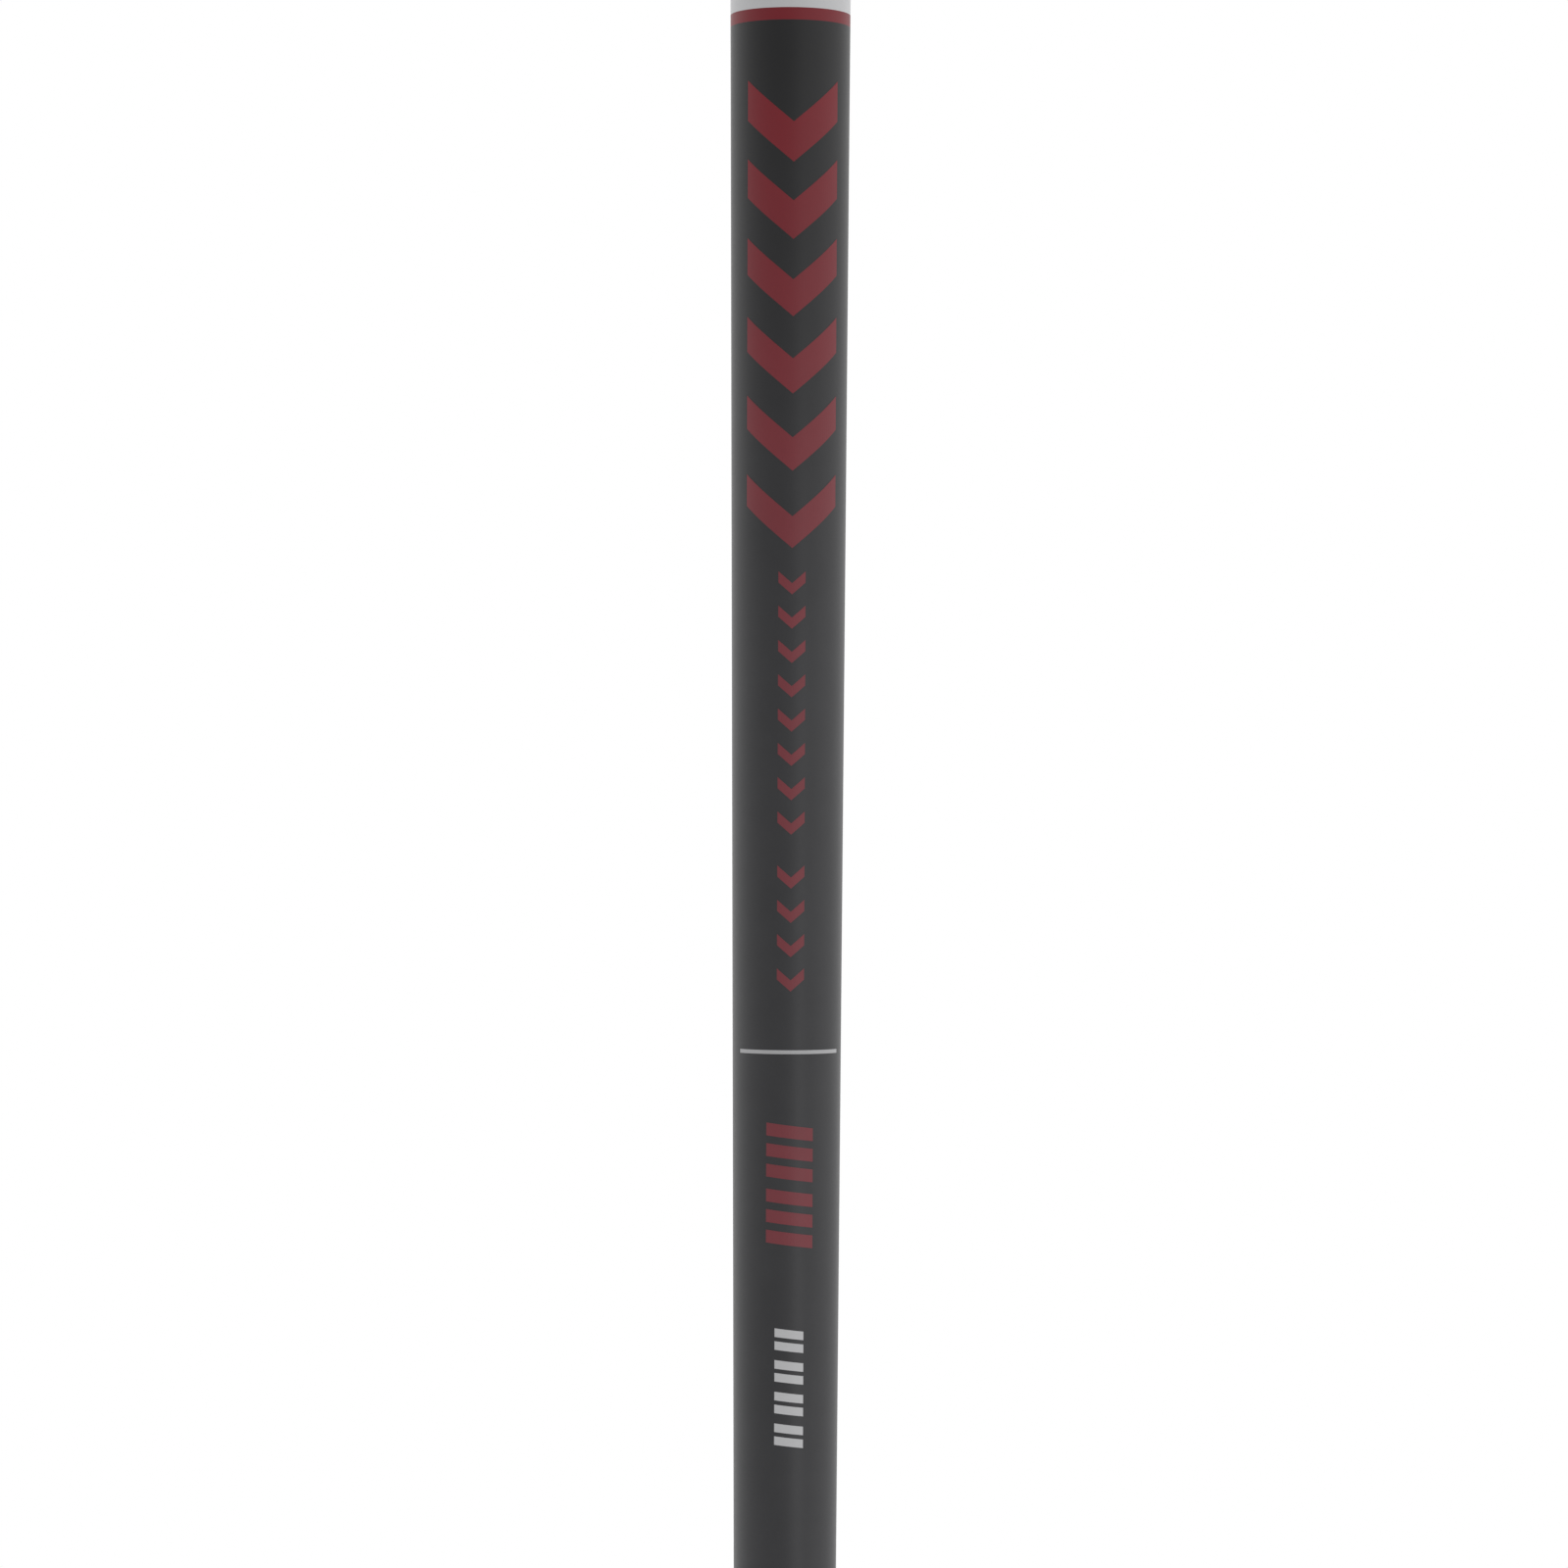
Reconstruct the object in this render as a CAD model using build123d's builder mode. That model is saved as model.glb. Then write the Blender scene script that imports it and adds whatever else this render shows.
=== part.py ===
"""A right-handed graphite-shafted 7-iron, every separate piece as its own solid.

Units are millimetres. The origin is the middle of the grip cap's end, +Z runs up the shaft and out
of the butt, +X points to the toe side and +Y to the target. The head hangs at the bottom.
"""
from build123d import *
import os
from math import cos, radians, sin, tan

os.makedirs("parts", exist_ok=True)

# The whole club
CLUB_LENGTH = 927.0
LIE = radians(62.5)
LOFT = radians(30.0)

# Shaft
SHAFT_TOP = -5.0
SHAFT_KNEE = -310.0
SHAFT_TAPER_END = -792.0
BUTT_RADIUS = 7.5
KNEE_RADIUS = 7.44
TIP_RADIUS = 4.7
BUTT_WALL = 1.1
TIP_WALL = 2.1

# Hosel joint
HOSEL_LENGTH = 62.0
NECK_LENGTH = 36.0
NECK_TOP = NECK_LENGTH - CLUB_LENGTH
NECK_STEPS = 4
NECK_PULL = 1.15
HOSEL_RADIUS = 6.8
HOSEL_ROUNDING = 6.4
HOSEL_FIT = 0.99
GLUE_GAP = 0.1
BORE_DEPTH = 31.0
BORE_RADIUS = TIP_RADIUS + GLUE_GAP
HOSEL_TOP = HOSEL_LENGTH - CLUB_LENGTH
BORE_FLOOR = HOSEL_TOP - BORE_DEPTH
PLUG_FLANGE = 1.2
PLUG_STEM = 14.0
PLUG_CLEARANCE = 0.3
SHAFT_TIP = BORE_FLOOR + PLUG_FLANGE + PLUG_CLEARANCE

# Ferrule stack, standing on the hosel
FERRULE_RING_HEIGHT = 1.8
FERRULE_HEIGHT = 19.0
FERRULE_BULGE = 0.5
TOP_RING_HEIGHT = 1.2
TOP_RING_ROUNDING = 0.4
FERRULE_TOP_RADIUS = 5.6

# Grip
TAPE_THICKNESS = 0.25
TAPE_END = -262.0
GRIP_LENGTH = 267.0
# Height and outer radius down the sleeve, from the cap to the mouth
GRIP_OUTSIDE = [
    (SHAFT_TOP, 13.2),
    (-20.0, 12.75),
    (-55.0, 11.6),
    (-155.0, 9.95),
    (-255.0, 8.45),
    (-GRIP_LENGTH, 8.2),
]
CAP_RADIUS = 13.2
CAP_THICKNESS = 5.0
CAP_ROUNDING = 2.2
VENT_RADIUS = 1.9
GRIP_RING_DEPTH = 0.45
GRIP_RING_WIDTH = 1.1
GRIP_RING_PITCH = 3.0
GRIP_RINGS = 3
GRIP_RING_STARTS = (-12.0, -246.0)

# Blade
LEADING_Y = 2.8
LEADING_Z = 1.6
HEEL_X = 8.0
MIDDLE_X = 45.0
TOE_X = 91.0
SOLE_LOW_X = 36.0
CAMBER_RADIUS = 230.0
HEEL_HEIGHT = 30.2
TOPLINE_SLOPE = 0.39
TOPLINE_WIDTH = 6.2
HEEL_SOLE_WIDTH = 17.4
SOLE_WIDENING = 0.075
BOUNCE_DROP = 2.2
BOUNCE_REACH = 9.0
BLADE_ROUNDINGS = (1.2, 10, 2.6, 1.6, 1.0)

OUTLINE_START = 20.0
OUTLINE_REACH = 80.0

# Depths behind the face, and the parts bonded there
PLATE_THICKNESS = 2.4
UNDERCUT_DEPTH = 9.0
TAPE_DEPTH = 0.5
CARRIER_DEPTH = 2.0
TRIM_DEPTH = 0.8
GROOVE_COUNT = 12
GROOVE_PITCH = 3.1
GROOVE_WIDTH = 0.9
GROOVE_DEPTH = 0.45
GROOVE_HEEL_X = 15.0
GROOVE_TOE_X = 66.0
GROOVE_LOW = 7.5
GROOVE_TOP_AT_HEEL = 19.5
INLAY_STARTS = (44.0, 51.0, 58.0)
INLAY_WIDTH = 4.0
INLAY_SLANT = 4.0
INLAY_LOW = 23.0
INLAY_HIGH = 33.0

# Sole slot and toe weight
SLOT_DEPTH = 4.6
WEIGHT_X = 78.0
WEIGHT_UP = 17.0
WEIGHT_BACK = 10.5
WEIGHT_RADIUS = 3.8
WEIGHT_LENGTH = 6.0
WEIGHT_SOCKET = 2.2

# The head's own frame: ground at the heel, x to the toe, y to the target, z straight up.
ADDRESS = Plane(
    origin=(0, 0, -CLUB_LENGTH),
    x_dir=(sin(LIE), 0, -cos(LIE)),
    z_dir=(cos(LIE), 0, sin(LIE)),
)


def in_head(origin, x_dir, z_dir):
    """A plane given in the head's own frame, placed in the club's frame."""
    plane = Plane(origin=origin, x_dir=x_dir, z_dir=z_dir)
    return Plane(ADDRESS.location * plane.location)


# The face's frame: x to the toe, y up the face from the leading edge, z into the head.
FACE = in_head((0, LEADING_Y, LEADING_Z), (1, 0, 0), (0, -cos(LOFT), -sin(LOFT)))


def shaft_radius(height):
    """Outer radius of the shaft at a height."""
    if height >= SHAFT_KNEE:
        share = (SHAFT_TOP - height) / (SHAFT_TOP - SHAFT_KNEE)
        return BUTT_RADIUS + share * (KNEE_RADIUS - BUTT_RADIUS)
    share = min(1, (SHAFT_KNEE - height) / (SHAFT_KNEE - SHAFT_TAPER_END))
    return KNEE_RADIUS + share * (TIP_RADIUS - KNEE_RADIUS)


def grip_radius(height):
    """Outer radius of the grip sleeve at a height."""
    for (upper, wide), (lower, narrow) in zip(GRIP_OUTSIDE, GRIP_OUTSIDE[1:]):
        if upper >= height >= lower:
            return wide + (upper - height) / (upper - lower) * (narrow - wide)


def rounded_outline(corners, radii):
    """A closed outline of straight sides with every corner rounded to its own radius."""
    starts, middles, ends = [], [], []
    for index, (corner, radius) in enumerate(zip(corners, radii)):
        here = Vector(*corner)
        back = (Vector(*corners[index - 1]) - here).normalized()
        onward = (Vector(*corners[(index + 1) % len(corners)]) - here).normalized()
        half = radians(back.get_angle(onward)) / 2
        starts.append(here + back * (radius / tan(half)))
        ends.append(here + onward * (radius / tan(half)))
        middles.append(here + (back + onward).normalized() * (radius / sin(half) - radius))
    with BuildLine() as outline:
        for index, start in enumerate(starts):
            ThreePointArc(start, middles[index], ends[index])
            Line(ends[index], starts[(index + 1) % len(starts)])
    return outline.line


def rounded_face(plane, corners, radii):
    """The flat face inside a rounded outline, on a plane."""
    with BuildSketch(plane) as face:
        add(rounded_outline(corners, radii))
        make_face()
    return face.sketch


def blade_corners(x):
    """The blade's corners at x: leading edge, sole, trailing edge, back and front of the topline."""
    camber = (x - SOLE_LOW_X) ** 2 / (2 * CAMBER_RADIUS)
    sole = HEEL_SOLE_WIDTH + (x - HEEL_X) * SOLE_WIDENING
    height = HEEL_HEIGHT + (x - HEEL_X) * TOPLINE_SLOPE
    top_y = LEADING_Y - height * sin(LOFT)
    top_z = LEADING_Z + height * cos(LOFT)
    return [
        (LEADING_Y - camber * tan(LOFT), LEADING_Z + camber),
        (LEADING_Y - BOUNCE_REACH, LEADING_Z - BOUNCE_DROP + camber),
        (LEADING_Y - sole, LEADING_Z + camber),
        (top_y - TOPLINE_WIDTH * cos(LOFT), top_z - TOPLINE_WIDTH * sin(LOFT)),
        (top_y, top_z),
    ]


def blade_section(x):
    """The blade cut across at x."""
    return rounded_face(in_head((x, 0, 0), (0, 1, 0), (1, 0, 0)), blade_corners(x), BLADE_ROUNDINGS)


def hosel_corners():
    """Five corners round the shaft axis, in the head's frame, whose roundings nearly make a circle."""
    reach = HOSEL_FIT * HOSEL_RADIUS / cos(radians(36))
    middle = Vector(-cos(LIE), 0, sin(LIE)) * NECK_LENGTH
    toe_ward = Vector(sin(LIE), 0, cos(LIE))
    angles = [radians(-30 - 72 * corner) for corner in range(5)]
    return [middle + Vector(0, reach * cos(angle), 0) + toe_ward * (reach * sin(angle)) for angle in angles]


def neck_section(share):
    """The neck part of the way from the round hosel to the blade's heel, following smooth curves."""
    down_hosel = Vector(cos(LIE), 0, -sin(LIE))
    weights = (
        2 * share**3 - 3 * share**2 + 1,
        share**3 - 2 * share**2 + share,
        3 * share**2 - 2 * share**3,
        share**3 - share**2,
    )
    turn = share * share * (3 - 2 * share)
    heel_corners = [Vector(HEEL_X, y, z) for y, z in blade_corners(HEEL_X)]
    next_corners = [Vector(HEEL_X + 1, y, z) for y, z in blade_corners(HEEL_X + 1)]
    corners = []
    for top, low, onward in zip(hosel_corners(), heel_corners, next_corners):
        pull = NECK_PULL * (low - top).length
        leaving = down_hosel * (pull * weights[1])
        arriving = (onward - low) * (pull * weights[3])
        corners.append(top * weights[0] + leaving + low * weights[2] + arriving)
    middle = sum(corners, Vector(0, 0, 0)) / len(corners)
    normal = (down_hosel * (1 - turn) + Vector(turn, 0, 0)).normalized()
    up = normal.cross(Vector(0, 1, 0))
    flat = [((corner - middle).Y, (corner - middle).dot(up)) for corner in corners]
    radii = [HOSEL_ROUNDING + (radius - HOSEL_ROUNDING) * share for radius in BLADE_ROUNDINGS]
    return rounded_face(in_head(tuple(middle), (0, 1, 0), tuple(normal)), flat, radii)


def on_head(toe_ward, up_face, depth):
    """The head-frame position of a point given by the face's frame."""
    return (
        toe_ward,
        LEADING_Y - up_face * sin(LOFT) - depth * cos(LOFT),
        LEADING_Z + up_face * cos(LOFT) - depth * sin(LOFT),
    )


blade_sections = [blade_section(x) for x in (HEEL_X, MIDDLE_X, TOE_X)]
neck_sections = [neck_section(step / NECK_STEPS) for step in range(NECK_STEPS)] + blade_sections[:1]

# Flat outlines on the face's frame, from the heel's low corner round to its high corner
toe_outline = rounded_face(
    FACE.offset(-OUTLINE_START), [(-40, -13.6), (89, 5.7), (82.5, 59.8), (-40, 12)], [2, 25, 10, 2]
)
toe_side_outline = rounded_face(
    in_head((0, OUTLINE_START, 0), (1, 0, 0), (0, -1, 0)),
    [(-70, -17.6), (90, 4.7), (88, 90), (-70, 90)],
    [2, 20, 2, 2],
)
plate_outline = rounded_face(FACE, [(9.5, 4), (82.5, 6), (79.5, 53.5), (9.5, 26.9)], [4, 18, 7, 4])
window_outline = rounded_face(
    FACE.offset(PLATE_THICKNESS), [(12, 6.6), (76, 8.6), (74.5, 48.5), (12, 24.2)], [3, 10, 6, 3]
)
rear_outline = rounded_face(
    FACE.offset(UNDERCUT_DEPTH), [(12, 16.2), (75.66, 17.6), (74.5, 48.5), (12, 24.2)], [2.5, 5, 6, 3]
)
slot_outline = rounded_face(
    in_head((0, 0, -SLOT_DEPTH), (1, 0, 0), (0, 0, 1)),
    [(18, -14.2), (62, -14.2), (62, -11.2), (18, -11.2)],
    [1.2] * 4,
)
weight_plane = in_head(on_head(WEIGHT_X, WEIGHT_UP, WEIGHT_BACK), (0, 1, 0), (1, 0, 0))


def add_blade():
    """The plain blade with its rounded toe, added to the part being built."""
    loft(sections=blade_sections)
    extrude(toe_outline, amount=OUTLINE_REACH, mode=Mode.INTERSECT)
    extrude(toe_side_outline, amount=OUTLINE_REACH, mode=Mode.INTERSECT)


# Head: the cast body with its hosel
with BuildPart() as head_body:
    add_blade()
    loft(sections=neck_sections)
    extrude(neck_sections[0], amount=NECK_TOP - HOSEL_TOP)
    with BuildSketch(Plane.XY.offset(HOSEL_TOP)):
        Circle(BORE_RADIUS)
    extrude(amount=-BORE_DEPTH, mode=Mode.SUBTRACT)
    extrude(plate_outline, amount=PLATE_THICKNESS, mode=Mode.SUBTRACT)
    extrude(window_outline, amount=UNDERCUT_DEPTH - PLATE_THICKNESS, mode=Mode.SUBTRACT)
    extrude(rear_outline, amount=UNDERCUT_DEPTH * 2, mode=Mode.SUBTRACT)
    extrude(slot_outline, amount=SLOT_DEPTH * 2, mode=Mode.SUBTRACT)
    with BuildSketch(weight_plane):
        Circle(WEIGHT_RADIUS)
    extrude(amount=WEIGHT_LENGTH * 2, mode=Mode.SUBTRACT)
head_body.part.label = "head_body"
export_step(head_body.part, "parts/head_body.step")

# Head: the grooved striking plate set into the front
with BuildPart() as face_plate:
    extrude(plate_outline, amount=PLATE_THICKNESS)
    with BuildSketch(FACE):
        for row in range(GROOVE_COUNT):
            up_face = GROOVE_LOW + row * GROOVE_PITCH
            heel_end = max(GROOVE_HEEL_X, (up_face - GROOVE_TOP_AT_HEEL) / TOPLINE_SLOPE)
            with Locations(((heel_end + GROOVE_TOE_X) / 2, up_face)):
                Rectangle(GROOVE_TOE_X - heel_end, GROOVE_WIDTH)
    extrude(amount=GROOVE_DEPTH, mode=Mode.SUBTRACT)
face_plate.part.label = "face_plate"
export_step(face_plate.part, "parts/face_plate.step")

# Head: the elastomer bar pressed into the undercut behind the low face
with BuildPart() as damping_bar:
    with BuildSketch(FACE.offset(PLATE_THICKNESS)):
        add(rounded_outline([(16, 7.3), (70, 9.0), (70, 15.4), (16, 15.4)], [1.5] * 4))
        make_face()
    extrude(amount=UNDERCUT_DEPTH - PLATE_THICKNESS)
damping_bar.part.label = "damping_bar"
export_step(damping_bar.part, "parts/damping_bar.step")

# Badge: the adhesive foam that bonds it to the plate's back
with BuildPart() as badge_tape:
    with BuildSketch(FACE.offset(PLATE_THICKNESS)):
        add(rounded_outline([(16, 18), (73, 19.3), (72, 45), (16, 23.2)], [2] * 4))
        make_face()
    extrude(amount=TAPE_DEPTH)
badge_tape.part.label = "badge_tape"
export_step(badge_tape.part, "parts/badge_tape.step")

# Badge: the moulded carrier that fills the cavity floor
with BuildPart() as badge_carrier:
    with BuildSketch(FACE.offset(PLATE_THICKNESS + TAPE_DEPTH)):
        add(rounded_outline([(12.4, 16.6), (75.2, 18), (74.1, 48), (12.4, 24)], [2, 4.7, 5.7, 2.7]))
        make_face()
    extrude(amount=CARRIER_DEPTH)
badge_carrier.part.label = "badge_carrier"
export_step(badge_carrier.part, "parts/badge_carrier.step")

# Badge: the brushed trim, slanted at its heel end, with three slanted slots
trim_plane = FACE.offset(PLATE_THICKNESS + TAPE_DEPTH + CARRIER_DEPTH)
with BuildSketch(trim_plane) as trim_slots:
    for start in INLAY_STARTS:
        with BuildLine():
            Polyline(
                (start, INLAY_LOW),
                (start + INLAY_WIDTH, INLAY_LOW),
                (start + INLAY_WIDTH + INLAY_SLANT, INLAY_HIGH),
                (start + INLAY_SLANT, INLAY_HIGH),
                close=True,
            )
        make_face()
with BuildPart() as badge_trim:
    with BuildSketch(trim_plane):
        add(rounded_outline([(31, 18.2), (73.8, 19.4), (72.6, 46), (39, 32.9)], [1.5, 4, 5, 1.5]))
        make_face()
    extrude(amount=TRIM_DEPTH)
    extrude(trim_slots.sketch, amount=TRIM_DEPTH, mode=Mode.SUBTRACT)
badge_trim.part.label = "badge_trim"
export_step(badge_trim.part, "parts/badge_trim.step")

# Badge: three coloured bars in the trim's slots
with BuildPart() as badge_inlays:
    extrude(trim_slots.sketch, amount=TRIM_DEPTH)
badge_inlays.part.label = "badge_inlays"
export_step(badge_inlays.part, "parts/badge_inlays.step")

# Sole: the flexible strip that fills the slot flush with the sole
with BuildPart() as sole_slot_filler:
    add_blade()
    extrude(slot_outline, amount=SLOT_DEPTH * 2, mode=Mode.INTERSECT)
sole_slot_filler.part.label = "sole_slot_filler"
export_step(sole_slot_filler.part, "parts/sole_slot_filler.step")

# Toe: the dense plug with a hexagon socket, its end ground to the toe's curve
with BuildPart() as toe_weight:
    add_blade()
    with BuildSketch(weight_plane):
        Circle(WEIGHT_RADIUS)
    extrude(amount=WEIGHT_LENGTH * 2, mode=Mode.INTERSECT)
    with BuildSketch(weight_plane.offset(WEIGHT_LENGTH - WEIGHT_SOCKET)):
        RegularPolygon(WEIGHT_SOCKET, 6)
    extrude(amount=WEIGHT_LENGTH * 2, mode=Mode.SUBTRACT)
toe_weight.part.label = "toe_weight"
export_step(toe_weight.part, "parts/toe_weight.step")

# Shaft: one tapered tube
shaft_heights = [SHAFT_TOP, SHAFT_KNEE, SHAFT_TAPER_END, SHAFT_TIP]
shaft_outside = [(shaft_radius(height), height) for height in shaft_heights]
shaft_inside = [
    (SHAFT_TOP, BUTT_WALL),
    (SHAFT_KNEE, BUTT_WALL),
    (SHAFT_TAPER_END, TIP_WALL),
    (SHAFT_TIP, TIP_WALL),
]
with BuildPart() as shaft:
    with BuildSketch(Plane.XZ):
        with BuildLine():
            Polyline(
                *shaft_outside,
                *[(shaft_radius(height) - wall, height) for height, wall in reversed(shaft_inside)],
                close=True,
            )
        make_face()
    revolve(axis=Axis.Z)
shaft.part.label = "shaft"
export_step(shaft.part, "parts/shaft.step")

# Shaft tip: the brass balance plug, its flange under the tube's end
with BuildPart() as tip_plug:
    with BuildSketch(Plane.XY.offset(SHAFT_TIP)):
        Circle(TIP_RADIUS)
    extrude(amount=-PLUG_FLANGE)
    with BuildSketch(Plane.XY.offset(SHAFT_TIP)):
        Circle(TIP_RADIUS - TIP_WALL)
    extrude(amount=PLUG_STEM)
tip_plug.part.label = "tip_plug"
export_step(tip_plug.part, "parts/tip_plug.step")

# Hosel: the cured glue film between the bore and the shaft
with BuildPart() as hosel_glue:
    with BuildSketch(Plane.XY.offset(HOSEL_TOP)):
        Circle(BORE_RADIUS)
        Circle(TIP_RADIUS, mode=Mode.SUBTRACT)
    extrude(amount=SHAFT_TIP - HOSEL_TOP)
hosel_glue.part.label = "hosel_glue"
export_step(hosel_glue.part, "parts/hosel_glue.step")

# Ferrule: the bright ring on the hosel's top
with BuildPart() as ferrule_base_ring:
    with BuildSketch(Plane.XY.offset(HOSEL_TOP)):
        Circle(HOSEL_RADIUS)
        Circle(TIP_RADIUS, mode=Mode.SUBTRACT)
    extrude(amount=FERRULE_RING_HEIGHT)
ferrule_base_ring.part.label = "ferrule_base_ring"
export_step(ferrule_base_ring.part, "parts/ferrule_base_ring.step")

# Ferrule: the tapered collar
ferrule_bottom = HOSEL_TOP + FERRULE_RING_HEIGHT
ferrule_top = ferrule_bottom + FERRULE_HEIGHT
with BuildPart() as ferrule:
    with BuildSketch(Plane.XZ):
        with BuildLine():
            Line((TIP_RADIUS, ferrule_bottom), (HOSEL_RADIUS, ferrule_bottom))
            ThreePointArc(
                (HOSEL_RADIUS, ferrule_bottom),
                ((HOSEL_RADIUS + FERRULE_TOP_RADIUS + FERRULE_BULGE) / 2, (ferrule_bottom + ferrule_top) / 2),
                (FERRULE_TOP_RADIUS, ferrule_top),
            )
            Polyline(
                (FERRULE_TOP_RADIUS, ferrule_top), (TIP_RADIUS, ferrule_top), (TIP_RADIUS, ferrule_bottom)
            )
        make_face()
    revolve(axis=Axis.Z)
ferrule.part.label = "ferrule"
export_step(ferrule.part, "parts/ferrule.step")

# Ferrule: the thin coloured ring that finishes it
with BuildPart() as ferrule_top_ring:
    with BuildSketch(Plane.XY.offset(ferrule_top)):
        Circle(FERRULE_TOP_RADIUS)
        Circle(TIP_RADIUS, mode=Mode.SUBTRACT)
    extrude(amount=TOP_RING_HEIGHT)
    fillet(ferrule_top_ring.edges().group_by(Axis.Z)[-1].sort_by(SortBy.RADIUS)[-1], TOP_RING_ROUNDING)
ferrule_top_ring.part.label = "ferrule_top_ring"
export_step(ferrule_top_ring.part, "parts/ferrule_top_ring.step")

# Grip: the double-sided tape wrapped round the butt
tape_outside = [
    (shaft_radius(SHAFT_TOP) + TAPE_THICKNESS, SHAFT_TOP),
    (shaft_radius(TAPE_END) + TAPE_THICKNESS, TAPE_END),
]
tape_inside = [(shaft_radius(TAPE_END), TAPE_END), (shaft_radius(SHAFT_TOP), SHAFT_TOP)]
with BuildPart() as grip_tape:
    with BuildSketch(Plane.XZ):
        with BuildLine():
            Polyline(*tape_outside, *tape_inside, close=True)
        make_face()
    revolve(axis=Axis.Z)
grip_tape.part.label = "grip_tape"
export_step(grip_tape.part, "parts/grip_tape.step")

# Grip: the tapered rubber sleeve, with rings turned into it near both ends
with BuildPart() as grip_sleeve:
    with BuildSketch(Plane.XZ):
        with BuildLine():
            Spline(*[(radius, height) for height, radius in GRIP_OUTSIDE])
            Polyline(
                (GRIP_OUTSIDE[-1][1], GRIP_OUTSIDE[-1][0]),
                (shaft_radius(-GRIP_LENGTH), -GRIP_LENGTH),
                (shaft_radius(TAPE_END), TAPE_END),
                *tape_outside[::-1],
                (GRIP_OUTSIDE[0][1], GRIP_OUTSIDE[0][0]),
            )
        make_face()
    revolve(axis=Axis.Z)
    with BuildSketch(Plane.XZ):
        for first in GRIP_RING_STARTS:
            for ring in range(GRIP_RINGS):
                height = first - ring * GRIP_RING_PITCH
                with Locations((grip_radius(height) + GRIP_RING_DEPTH, height)):
                    Rectangle(GRIP_RING_DEPTH * 4, GRIP_RING_WIDTH)
    revolve(axis=Axis.Z, mode=Mode.SUBTRACT)
grip_sleeve.part.label = "grip_sleeve"
export_step(grip_sleeve.part, "parts/grip_sleeve.step")

# Grip: the end cap with the vent hole that lets air out of the tube
with BuildPart() as grip_cap:
    with BuildSketch(Plane.XY.offset(-CAP_THICKNESS)):
        Circle(CAP_RADIUS)
    extrude(amount=CAP_THICKNESS)
    fillet(grip_cap.edges().group_by(Axis.Z)[-1], CAP_ROUNDING)
    with BuildSketch(Plane.XY):
        Circle(VENT_RADIUS)
    extrude(amount=-CAP_THICKNESS, mode=Mode.SUBTRACT)
grip_cap.part.label = "grip_cap"
export_step(grip_cap.part, "parts/grip_cap.step")
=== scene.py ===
"""The golf iron's looks: printed graphite shaft, rubber grip, ferrule and brushed head.

Metres throughout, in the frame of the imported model: the butt's end is the origin, the shaft hangs
down -Z, the toe is at +X and the printed side of the shaft faces -Y.
"""

import math

import bpy
from mathutils import Euler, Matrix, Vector


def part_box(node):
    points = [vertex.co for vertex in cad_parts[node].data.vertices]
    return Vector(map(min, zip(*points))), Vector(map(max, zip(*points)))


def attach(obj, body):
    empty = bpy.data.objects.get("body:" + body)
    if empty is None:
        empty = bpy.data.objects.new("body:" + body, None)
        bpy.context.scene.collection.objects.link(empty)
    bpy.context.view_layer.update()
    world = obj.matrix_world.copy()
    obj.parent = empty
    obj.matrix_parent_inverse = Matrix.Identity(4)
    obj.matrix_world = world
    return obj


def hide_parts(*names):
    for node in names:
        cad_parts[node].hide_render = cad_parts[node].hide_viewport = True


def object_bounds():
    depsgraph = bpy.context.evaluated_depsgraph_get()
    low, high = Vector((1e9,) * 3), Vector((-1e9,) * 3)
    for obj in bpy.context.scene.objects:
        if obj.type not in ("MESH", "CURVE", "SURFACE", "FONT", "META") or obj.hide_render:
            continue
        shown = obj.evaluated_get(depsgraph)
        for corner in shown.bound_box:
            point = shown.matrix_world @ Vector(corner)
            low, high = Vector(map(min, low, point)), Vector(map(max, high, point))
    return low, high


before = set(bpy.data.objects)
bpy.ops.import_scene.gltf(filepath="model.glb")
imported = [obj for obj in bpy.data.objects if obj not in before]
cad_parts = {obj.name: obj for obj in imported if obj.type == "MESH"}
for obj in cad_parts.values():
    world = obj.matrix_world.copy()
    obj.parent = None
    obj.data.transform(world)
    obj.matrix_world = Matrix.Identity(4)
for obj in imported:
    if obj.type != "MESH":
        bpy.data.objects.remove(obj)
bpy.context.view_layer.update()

MM = 0.001
TAU = 2 * math.pi

# Places read from the frame
_, shaft_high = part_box("shaft")
sleeve_low, sleeve_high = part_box("grip_sleeve")
_, cap_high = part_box("grip_cap")

# The camera looks level at this height, and the print's heights are measured from it
CAMERA_BELOW_BUTT = 466 * MM
CAMERA_LEVEL = cap_high.z - CAMERA_BELOW_BUTT


def level(millimetres):
    """A height given in millimetres above the camera's level."""
    return CAMERA_LEVEL + millimetres * MM


# Profiles of the turned CAD nodes

LEAST_FACING = 0.5
RING_LEAST_DEPTH = 0.2 * MM
HEIGHT_DIGITS = 6
RING_DIGITS = 5


def facing_of(polygon):
    """How far a face points away from the Z axis, from -1 to 1, and its distance from the axis."""
    distance = math.hypot(polygon.center.x, polygon.center.y)
    outward = polygon.normal.x * polygon.center.x + polygon.normal.y * polygon.center.y
    return outward / distance if distance else 0, distance


def profile_of(node, side=1):
    """Heights and radii of a turned CAD node's outside (side 1) or inside (side -1), top first."""
    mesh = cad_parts[node].data
    radii = {}
    for polygon in mesh.polygons:
        facing, _ = facing_of(polygon)
        if side * facing < LEAST_FACING:
            continue
        for index in polygon.vertices:
            place = mesh.vertices[index].co
            height = round(place.z, HEIGHT_DIGITS)
            radii[height] = max(math.hypot(place.x, place.y), radii.get(height, 0))
    return sorted(radii.items(), reverse=True)


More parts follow.
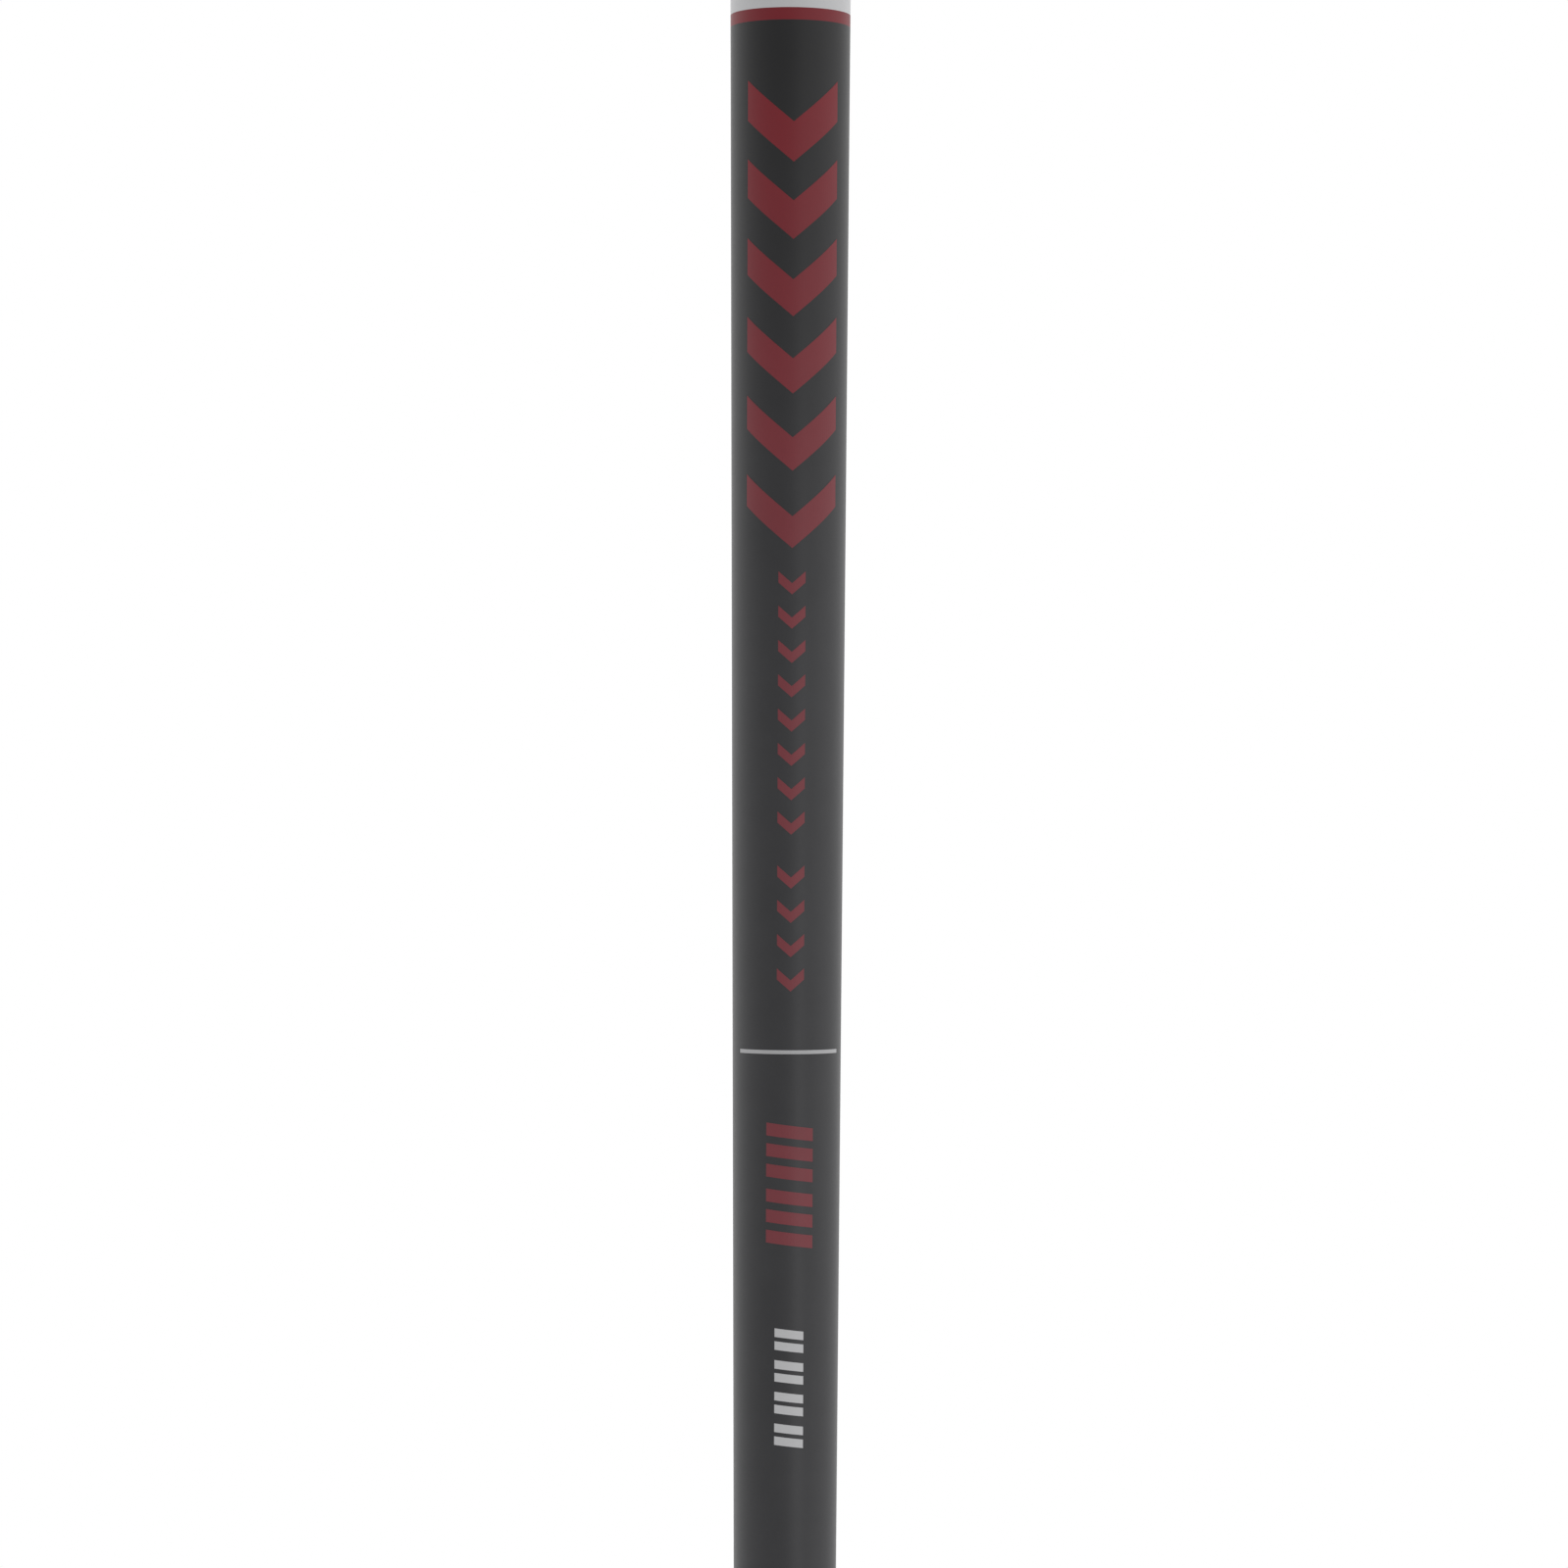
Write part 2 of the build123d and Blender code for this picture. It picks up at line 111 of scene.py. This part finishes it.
def radius_at(profile, height):
    """The radius at a height, on the straight line between two points of a profile."""
    for (upper, wide), (lower, narrow) in zip(profile, profile[1:]):
        if upper >= height >= lower:
            return wide + (upper - height) / (upper - lower) * (narrow - wide)
    return profile[-1][1] if height < profile[-1][0] else profile[0][1]


def ring_cuts(node, outside):
    """Low height, high height and floor radius of each narrow groove turned into a node's outside."""
    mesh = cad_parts[node].data
    cuts = {}
    for polygon in mesh.polygons:
        facing, reach = facing_of(polygon)
        if facing > LEAST_FACING and reach < radius_at(outside, polygon.center.z) - RING_LEAST_DEPTH:
            heights = [round(mesh.vertices[index].co.z, RING_DIGITS) for index in polygon.vertices]
            cuts[min(heights), max(heights)] = reach
    return [(low, high, reach) for (low, high), reach in cuts.items()]


SHAFT_PROFILE = profile_of("shaft")

# Mesh makers


def new_object(name, vertices, faces, materials, smooth=True):
    """A mesh object from lists, with its materials and smooth shading."""
    mesh = bpy.data.meshes.new(name)
    mesh.from_pydata(vertices, [], faces)
    mesh.validate()
    for material in materials:
        mesh.materials.append(material)
    mesh.polygons.foreach_set("use_smooth", [smooth] * len(mesh.polygons))
    mesh.update()
    obj = bpy.data.objects.new(name, mesh)
    bpy.context.scene.collection.objects.link(obj)
    return obj


def turned(name, rows, materials):
    """A closed solid about Z from rows of (radii round the row, height), the last joined to the first."""
    round_steps = len(rows[0][0])
    vertices = [
        (radius * math.cos(TAU * step / round_steps), radius * math.sin(TAU * step / round_steps), height)
        for radii, height in rows
        for step, radius in enumerate(radii)
    ]
    faces = []
    for row in range(len(rows)):
        here = row * round_steps
        onward = (row + 1) % len(rows) * round_steps
        for step in range(round_steps):
            beside = (step + 1) % round_steps
            faces.append((here + step, onward + step, onward + beside, here + beside))
    return new_object(name, vertices, faces, materials)


# Materials

# Painted shade: the print and the paint darken to their shaded upper colours between these two heights
SHADE_GRADIENT_LOW = level(15)
SHADE_GRADIENT_HIGH = level(85)

# Coatings: grains across a patch, share by which the gloss varies, depth of the orange peel
PATCH_GRAINS = 12
GLOSS_VARY = 0.1
PEEL_DEPTH = 0.05 * MM

# Metals: noise scale of the wear patches, their least and most roughness, depth of the brushed lines
WEAR_SCALE = 60
POLISHED = 0.75
WORN = 1.3
BRUSH_DEPTH = 0.04 * MM


def new_material(name):
    """An empty node material with its shader, and the tree to add nodes to."""
    material = bpy.data.materials.new(name)
    material.use_nodes = True
    tree = material.node_tree
    return material, tree, tree.nodes["Principled BSDF"]


def object_coordinates(tree, stretch=(1, 1, 1)):
    """Object coordinates, stretched for grain that runs one way."""
    place = tree.nodes.new("ShaderNodeTexCoord")
    mapping = tree.nodes.new("ShaderNodeMapping")
    mapping.inputs["Scale"].default_value = stretch
    tree.links.new(place.outputs["Object"], mapping.inputs["Vector"])
    return mapping.outputs["Vector"]


def noise(tree, vector, scale, detail=4, roughness=0.55):
    """A noise texture's factor."""
    node = tree.nodes.new("ShaderNodeTexNoise")
    node.inputs["Scale"].default_value = scale
    node.inputs["Detail"].default_value = detail
    node.inputs["Roughness"].default_value = roughness
    tree.links.new(vector, node.inputs["Vector"])
    return node.outputs["Fac"]


def ramp(tree, factor, low, high, start=0.3, end=0.7):
    """A colour ramp between two colours."""
    node = tree.nodes.new("ShaderNodeValToRGB")
    node.color_ramp.elements[0].position = start
    node.color_ramp.elements[0].color = (*low, 1)
    node.color_ramp.elements[1].position = end
    node.color_ramp.elements[1].color = (*high, 1)
    tree.links.new(factor, node.inputs["Fac"])
    return node.outputs["Color"]


def spread(tree, factor, low, high):
    """A number that follows a factor between two values."""
    node = tree.nodes.new("ShaderNodeMapRange")
    node.inputs["To Min"].default_value = low
    node.inputs["To Max"].default_value = high
    tree.links.new(factor, node.inputs["Value"])
    return node.outputs["Result"]


def bump(tree, shader, factor, strength, distance):
    """Surface relief from a factor."""
    node = tree.nodes.new("ShaderNodeBump")
    node.inputs["Strength"].default_value = strength
    node.inputs["Distance"].default_value = distance
    tree.links.new(factor, node.inputs["Height"])
    tree.links.new(node.outputs["Normal"], shader.inputs["Normal"])


def shade(value, factor):
    """A colour made lighter or darker."""
    return tuple(channel * factor for channel in value)


def painted_top_shading(tree, colour, shaded_top_colour):
    """Painted shade: a colour that darkens up the shaft to a second, shaded colour, between two heights
    on the print.
    """
    place = tree.nodes.new("ShaderNodeTexCoord")
    parts = tree.nodes.new("ShaderNodeSeparateXYZ")
    height = tree.nodes.new("ShaderNodeMapRange")
    height.inputs["From Min"].default_value = SHADE_GRADIENT_LOW
    height.inputs["From Max"].default_value = SHADE_GRADIENT_HIGH
    mix = tree.nodes.new("ShaderNodeMix")
    mix.data_type = "RGBA"
    tree.links.new(place.outputs["Object"], parts.inputs["Vector"])
    tree.links.new(parts.outputs["Z"], height.inputs["Value"])
    tree.links.new(height.outputs["Result"], mix.inputs["Factor"])
    tree.links.new(colour, mix.inputs["A"])
    tree.links.new(shaded_top_colour, mix.inputs["B"])
    return mix.outputs["Result"]


def coated(name, colour, roughness, vary=0.06, grain=900, relief=0.05, upper=None):
    """Paint, print or moulded plastic: faint mottling, uneven gloss and a fine orange peel; with upper,
    also painted shade that darkens the colour towards the top of the shaft.
    """
    material, tree, shader = new_material(name)
    vector = object_coordinates(tree)
    broad = noise(tree, vector, grain / PATCH_GRAINS)
    fine = noise(tree, vector, grain)
    mottled = ramp(tree, broad, shade(colour, 1 - vary), shade(colour, 1 + vary))
    # Painted shade: the mottled colour darkens to the upper colour towards the top of the shaft
    if upper:
        mottled = painted_top_shading(tree, mottled, ramp(tree, broad, shade(upper, 1 - vary), shade(upper, 1 + vary)))
    uneven = spread(tree, fine, roughness * (1 - GLOSS_VARY), roughness * (1 + GLOSS_VARY))
    tree.links.new(mottled, shader.inputs["Base Color"])
    tree.links.new(uneven, shader.inputs["Roughness"])
    bump(tree, shader, fine, relief, PEEL_DEPTH)
    return material


def brushed(name, colour, roughness, stretch, vary=0.1, relief=0.12):
    """Brushed metal: fine lines along one direction, with soft wear patches."""
    material, tree, shader = new_material(name)
    lines = noise(tree, object_coordinates(tree, stretch), 1, detail=3)
    patches = noise(tree, object_coordinates(tree), WEAR_SCALE)
    streaked = ramp(tree, lines, shade(colour, 1 - vary), shade(colour, 1 + vary))
    uneven = spread(tree, patches, roughness * POLISHED, roughness * WORN)
    tree.links.new(streaked, shader.inputs["Base Color"])
    tree.links.new(uneven, shader.inputs["Roughness"])
    shader.inputs["Metallic"].default_value = 1.0
    bump(tree, shader, lines, relief, BRUSH_DEPTH)
    return material


# The paint and the print colours, with darker upper copies that are painted shade towards the top of the
# shaft
CHARCOAL = (0.0345, 0.0345, 0.0375)
SHADED_TOP_CHARCOAL = (0.0085, 0.0085, 0.0095)
PRINT_RED = (0.203, 0.035, 0.045)
SHADED_TOP_RED = (0.198, 0.004, 0.012)
PRINT_GREY = (0.585, 0.585, 0.595)
LINE_SILVER = (0.46, 0.46, 0.47)

# The charcoal paint and the red print carry painted shade, darker towards the top of the shaft
charcoal = coated("charcoal_paint", CHARCOAL, 0.42, grain=2600, upper=SHADED_TOP_CHARCOAL)
band_white = coated("band_white", (0.6, 0.6, 0.61), 0.4, vary=0.02)
print_red = coated("print_red", PRINT_RED, 0.45, vary=0.05, upper=SHADED_TOP_RED)
print_grey = coated("print_grey", PRINT_GREY, 0.45, vary=0.02)
line_silver = coated("line_silver", LINE_SILVER, 0.45, vary=0.02)
grip_rubber = coated("grip_rubber", (0.016, 0.016, 0.017), 0.72, vary=0.2, grain=1800, relief=0.35)
cap_rubber = coated("cap_rubber", (0.014, 0.014, 0.015), 0.6, vary=0.15, grain=1800, relief=0.25)
black_gloss = coated("ferrule_black", (0.008, 0.008, 0.009), 0.16, vary=0.05, relief=0.02)
red_gloss = coated("ring_red", (0.25, 0.018, 0.026), 0.2, vary=0.05, relief=0.02)
dark_plastic = coated("carrier_plastic", (0.028, 0.029, 0.032), 0.5, vary=0.1, relief=0.2)
elastomer = coated("elastomer_black", (0.02, 0.02, 0.021), 0.65, vary=0.15, relief=0.2)
foam = coated("foam_tape", (0.06, 0.06, 0.062), 0.9, vary=0.2, relief=0.6)
glue = coated("glue_film", (0.42, 0.36, 0.2), 0.35, vary=0.1)
paper = coated("paper_tape", (0.62, 0.58, 0.46), 0.8, vary=0.08, relief=0.3)
cast_steel = brushed("cast_steel", (0.45, 0.45, 0.46), 0.27, (900, 5200, 900), vary=0.06, relief=0.06)
face_steel = brushed("face_steel", (0.33, 0.33, 0.34), 0.42, (400, 4200, 4200), vary=0.08, relief=0.1)
trim_metal = brushed("badge_brushed", (0.62, 0.62, 0.63), 0.3, (160, 3000, 3000))
ring_metal = brushed("ring_metal", (0.7, 0.7, 0.71), 0.2, (400, 400, 4000))
dense_metal = brushed("dense_plug", (0.3, 0.3, 0.31), 0.3, (500, 2200, 500))
brass = brushed("brass_plug", (0.6, 0.42, 0.16), 0.3, (400, 400, 2600))

# Shaft

SHAFT_ROUND = 160
STRIPE_HEIGHT = 1.43 * MM
BAND_HEIGHT = 58 * MM
BAND_LOW = level(90.5)
BAND_HIGH = BAND_LOW + BAND_HEIGHT


def build_shaft():
    """The tapered tube, with the white band and the two pinstripes as zones of its paint."""
    paint, white, red = 0, 1, 2
    zone_below = {
        shaft_high.z: paint,
        BAND_HIGH + STRIPE_HEIGHT: red,
        BAND_HIGH: white,
        BAND_LOW: red,
        BAND_LOW - STRIPE_HEIGHT: paint,
    }
    heights = sorted({*zone_below, *(height for height, _ in SHAFT_PROFILE)}, reverse=True)
    outside = [(radius_at(SHAFT_PROFILE, height), height) for height in heights]
    inside = [(radius, height) for height, radius in reversed(profile_of("shaft", -1))]
    rows = [([radius] * SHAFT_ROUND, height) for radius, height in outside + inside]
    zones = [zone_below[min(cut for cut in zone_below if cut >= height)] for height in heights]
    zones += [paint] * len(inside)
    shaft = turned("shaft_tube", rows, [charcoal, band_white, print_red])
    face_zones = [zone for zone in zones for _ in range(SHAFT_ROUND)]
    shaft.data.polygons.foreach_set("material_index", face_zones)
    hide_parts("shaft")
    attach(shaft, "root")


build_shaft()

# Print: thin closed films of ink that follow the shaft's surface

PRINT_TURN = math.radians(3.6)
PRINT_LIFT = 0.02 * MM
INK = 0.015 * MM
COLUMN_STEP = 0.4 * MM
ROW_STEP = 4 * COLUMN_STEP


def patch_grid(corners):
    """Points over a four-sided patch given by its corners, as rows of (across, up)."""
    low_left, low_right, high_right, high_left = (Vector(corner) for corner in corners)
    width = max((low_right - low_left).length, (high_right - high_left).length)
    columns = max(2, math.ceil(width / COLUMN_STEP))
    rows = max(1, math.ceil((high_left - low_left).length / ROW_STEP))
    grid = []
    for row in range(rows + 1):
        shares = [column / columns for column in range(columns + 1)]
        low = [low_left.lerp(low_right, share) for share in shares]
        high = [high_left.lerp(high_right, share) for share in shares]
        grid.append([under.lerp(over, row / rows) for under, over in zip(low, high)])
    return grid


def on_shaft(across, height, lift):
    """The point on the shaft that is an arc length across from the print's centre line."""
    radius = radius_at(SHAFT_PROFILE, height)
    angle = PRINT_TURN + across / radius
    reach = radius + lift
    return (reach * math.sin(angle), -reach * math.cos(angle), height)


def rim_of(rows, columns):
    """Places round the edge of a grid, anticlockwise from its first corner."""
    return (
        [(0, column) for column in range(columns - 1)]
        + [(row, columns - 1) for row in range(rows - 1)]
        + [(rows - 1, column) for column in range(columns - 1, 0, -1)]
        + [(row, 0) for row in range(rows - 1, 0, -1)]
    )


def ink(name, patches, material):
    """One closed film for a list of four-cornered patches of (across, height)."""
    vertices = []
    faces = []
    for corners in patches:
        grid = patch_grid(corners)
        rows, columns = len(grid), len(grid[0])
        first = len(vertices)
        layer = rows * columns
        for lift in (PRINT_LIFT, PRINT_LIFT - INK):
            vertices += [on_shaft(point.x, point.y, lift) for row in grid for point in row]
        for row in range(rows - 1):
            for column in range(columns - 1):
                corner = first + row * columns + column
                above = corner + columns
                faces.append((corner, corner + 1, above + 1, above))
                faces.append((layer + corner, layer + above, layer + above + 1, layer + corner + 1))
        rim = [first + row * columns + column for row, column in rim_of(rows, columns)]
        for here, onward in zip(rim, rim[1:] + rim[:1]):
            faces.append((here, layer + here, layer + onward, onward))
    obj = new_object(name, vertices, faces, [material], smooth=False)
    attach(obj, "root")


def slanted_bar(left, right, top, thick, slant=0):
    """One bar across the shaft; slant lowers its right end."""
    return [(left, top - thick), (right, top - thick - slant), (right, top - slant), (left, top)]


def chevron(width, top, thick, drop):
    """A bar bent in the middle so that it points down the shaft."""
    half = width / 2
    return [
        slanted_bar(-half, 0, top, thick, drop),
        slanted_bar(0, half, top - drop, thick, -drop),
    ]


def chevron_column(top, count, pitch, width, thick, drop, thinning=0):
    """Chevrons one below the other, each thinner than the last by thinning."""
    marks = []
    for step in range(count):
        marks += chevron(width, top - step * pitch, thick - thinning * step, drop)
    return marks


def bar_column(top, groups, group_pitch, bars, bar_pitch, width, thick, slant):
    """Groups of slanted bars one below the other."""
    marks = []
    for group in range(groups):
        for bar in range(bars):
            bar_top = top - group * group_pitch - bar * bar_pitch
            marks.append(slanted_bar(-width / 2, width / 2, bar_top, thick, slant))
    return marks


big_chevrons = chevron_column(
    top=level(82.2),
    count=6,
    pitch=9.2 * MM,
    width=11.8 * MM,
    thick=4.7 * MM,
    drop=5.0 * MM,
    thinning=0.2 * MM,
)
ink("print_chevrons", big_chevrons, print_red)

SMALL_CHEVRON = {"pitch": 4.0 * MM, "width": 3.2 * MM, "thick": 1.3 * MM, "drop": 1.4 * MM}
small_chevrons = chevron_column(top=level(24.8), count=8, **SMALL_CHEVRON)
small_chevrons += chevron_column(top=level(-9.5), count=4, **SMALL_CHEVRON)
ink("print_small_chevrons", small_chevrons, print_red)

red_bars = bar_column(
    top=level(-39.5),
    groups=2,
    group_pitch=7.7 * MM,
    bars=3,
    bar_pitch=2.4 * MM,
    width=5.6 * MM,
    thick=1.5 * MM,
    slant=0.7 * MM,
)
ink("print_bar_pair", red_bars, print_red)

grey_bars = bar_column(
    top=level(-63.5),
    groups=4,
    group_pitch=3.7 * MM,
    bars=2,
    bar_pitch=1.5 * MM,
    width=3.4 * MM,
    thick=1.0 * MM,
    slant=0.4 * MM,
)
ink("print_grey_bars", grey_bars, print_grey)

# The fine line stops short of the shaft's sides
LINE_TOP = level(-31.05)
LINE_THICK = 0.45 * MM
LINE_TURN = math.radians(62)
LINE_REACH = LINE_TURN * radius_at(SHAFT_PROFILE, LINE_TOP)
ink("print_line", [slanted_bar(-LINE_REACH, LINE_REACH, LINE_TOP, LINE_THICK)], line_silver)

# Grip

GRIP_ROUND = 144
GRIP_STEP = 0.45 * MM
RING_EDGE = 0.06 * MM
TREAD_CELLS = 16
TREAD_PITCH = 3.8 * MM
TREAD_SHARE = 0.34
TREAD_SOFTNESS = 0.12
TREAD_DEPTH = 0.35 * MM
PLAIN_TOP = 19 * MM
PLAIN_BOTTOM = 24 * MM
TREAD_TOP = sleeve_high.z - PLAIN_TOP
TREAD_BOTTOM = sleeve_low.z + PLAIN_BOTTOM
PANELS = 4
PANEL_GAP = 3.0 * MM
PANEL_PITCH = (TREAD_TOP - TREAD_BOTTOM + PANEL_GAP) / PANELS
PANEL_FADE = 0.6 * MM


def smooth_step(value):
    """A gentle ramp from 0 to 1."""
    value = min(1.0, max(0.0, value))
    return value * value * (3 - 2 * value)


def tread_depth(height, angle):
    """Depth of the moulded zigzag grooves at a point of the grip; none between the panels."""
    from_panel_top = (TREAD_TOP - height) % PANEL_PITCH
    edge = min(from_panel_top, PANEL_PITCH - PANEL_GAP - from_panel_top)
    edge = min(edge, TREAD_TOP - height, height - TREAD_BOTTOM)
    across = TREAD_CELLS * angle / TAU % 1
    zigzag = abs(2 * across - 1)
    phase = (height / TREAD_PITCH + zigzag) % 1
    groove = smooth_step((TREAD_SHARE - abs(phase - 0.5)) / TREAD_SOFTNESS)
    return TREAD_DEPTH * smooth_step(edge / PANEL_FADE) * groove


def build_sleeve():
    """The rubber sleeve with its tread and its rings, closed on the tape inside."""
    outside = profile_of("grip_sleeve")
    inside = profile_of("grip_sleeve", -1)
    rings = ring_cuts("grip_sleeve", outside)
    count = math.ceil((sleeve_high.z - sleeve_low.z) / GRIP_STEP)
    heights = [sleeve_high.z + (sleeve_low.z - sleeve_high.z) * step / count for step in range(count + 1)]
    for low, high, _ in rings:
        heights += [low - RING_EDGE, low, high, high + RING_EDGE]
    angles = [TAU * step / GRIP_ROUND for step in range(GRIP_ROUND)]
    rows = []
    for height in sorted(heights, reverse=True):
        floors = [reach for low, high, reach in rings if low <= height <= high]
        radius = min([radius_at(outside, height), *floors])
        rows.append(([radius - tread_depth(height, angle) for angle in angles], height))
    rows += [([radius] * GRIP_ROUND, height) for height, radius in reversed(inside)]
    sleeve = turned("grip_rubber_sleeve", rows, [grip_rubber])
    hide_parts("grip_sleeve")
    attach(sleeve, "root")


build_sleeve()

# The rest of the frame's nodes keep their shape and take their looks

LOOKS = {
    "grip_cap": cap_rubber,
    "grip_tape": paper,
    "tip_plug": brass,
    "hosel_glue": glue,
    "ferrule_top_ring": red_gloss,
    "ferrule": black_gloss,
    "ferrule_base_ring": ring_metal,
    "head_body": cast_steel,
    "face_plate": face_steel,
    "damping_bar": elastomer,
    "badge_tape": foam,
    "badge_carrier": dark_plastic,
    "badge_trim": trim_metal,
    "badge_inlays": red_gloss,
    "sole_slot_filler": elastomer,
    "toe_weight": dense_metal,
}


def dress_frame():
    """Give each of the other CAD nodes its material."""
    for node, material in LOOKS.items():
        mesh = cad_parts[node].data
        mesh.materials.clear()
        mesh.materials.append(material)


dress_frame()

# Floor, light and camera

FLOOR_ROUND = 96
FLOOR_CORE = 0.02
FLOOR_RADIUS = 1.4


def build_floor():
    """A pale round floor under the club, small enough to stay out of the photograph's view."""
    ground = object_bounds()[0][2]
    angles = [TAU * step / FLOOR_ROUND for step in range(FLOOR_ROUND)]
    vertices = [
        (radius * math.cos(angle), radius * math.sin(angle), ground)
        for radius in (FLOOR_CORE, FLOOR_RADIUS)
        for angle in angles
    ]
    faces = []
    for step in range(FLOOR_ROUND):
        beside = (step + 1) % FLOOR_ROUND
        faces.append((step, beside, FLOOR_ROUND + beside, FLOOR_ROUND + step))
    faces.append(tuple(range(FLOOR_ROUND))[::-1])
    pale = coated("floor_pale", (0.8, 0.8, 0.8), 0.8, vary=0.01, grain=40)
    floor = new_object("floor", vertices, faces, [pale])


build_floor()

BACK_LIGHT = 1.0
FRONT_LIGHT = 0.4
DIM_TURN = math.radians(18)


def build_world():
    """A white studio, dimmer at the front left so that the shaft's rims stay brightest."""
    world = bpy.data.worlds.new("studio")
    bpy.context.scene.world = world
    world.use_nodes = True
    tree = world.node_tree
    direction = tree.nodes.new("ShaderNodeTexCoord")
    facing = tree.nodes.new("ShaderNodeVectorMath")
    facing.operation = "DOT_PRODUCT"
    facing.inputs[1].default_value = (math.sin(DIM_TURN), math.cos(DIM_TURN), 0)
    dimming = tree.nodes.new("ShaderNodeMapRange")
    dimming.inputs["From Min"].default_value = -1
    dimming.inputs["From Max"].default_value = 0
    dimming.inputs["To Min"].default_value = FRONT_LIGHT
    dimming.inputs["To Max"].default_value = BACK_LIGHT
    tree.links.new(direction.outputs["Generated"], facing.inputs[0])
    tree.links.new(facing.outputs["Value"], dimming.inputs["Value"])
    tree.links.new(dimming.outputs["Result"], tree.nodes["Background"].inputs["Strength"])
    tree.nodes["Background"].inputs["Color"].default_value = (1, 1, 1, 1)


build_world()

KEY_LEVEL = level(-210)
KEY_PLACE = Vector((0.66, -1.35, KEY_LEVEL))
KEY_AIM = Vector((0, 0, KEY_LEVEL))
KEY_SIDE = 0.5
KEY_POWER = 0.11
KEY_SPREAD = math.radians(50)


def build_key():
    """A square softbox at the front right, level with the lower half of the view."""
    data = bpy.data.lights.new("key", "AREA")
    data.shape = "RECTANGLE"
    data.size = KEY_SIDE
    data.size_y = KEY_SIDE
    data.energy = KEY_POWER
    data.spread = KEY_SPREAD
    light = bpy.data.objects.new("key", data)
    bpy.context.scene.collection.objects.link(light)
    light.location = KEY_PLACE
    light.rotation_euler = (KEY_AIM - KEY_PLACE).to_track_quat("-Z", "Y").to_euler()


build_key()

CAMERA_DISTANCE = 612 * MM
CAMERA_ROLL = math.radians(-0.21)
AXIS_OFFSET = -0.436 * MM
SENSOR_WIDTH = 36.0
LENS_LENGTH = 119.25
CLIP_START = 0.05


def build_camera():
    """The photograph's camera, looking level along +Y at the print."""
    data = bpy.data.cameras.new("photo_view")
    data.sensor_width = SENSOR_WIDTH
    data.lens = LENS_LENGTH
    data.clip_start = CLIP_START
    camera = bpy.data.objects.new("photo_view", data)
    bpy.context.scene.collection.objects.link(camera)
    camera.location = (AXIS_OFFSET, -CAMERA_DISTANCE, CAMERA_LEVEL)
    camera.rotation_euler = Euler((math.pi / 2, CAMERA_ROLL, 0))
    bpy.context.scene.camera = camera


build_camera()
bpy.context.scene.view_settings.view_transform = "Standard"
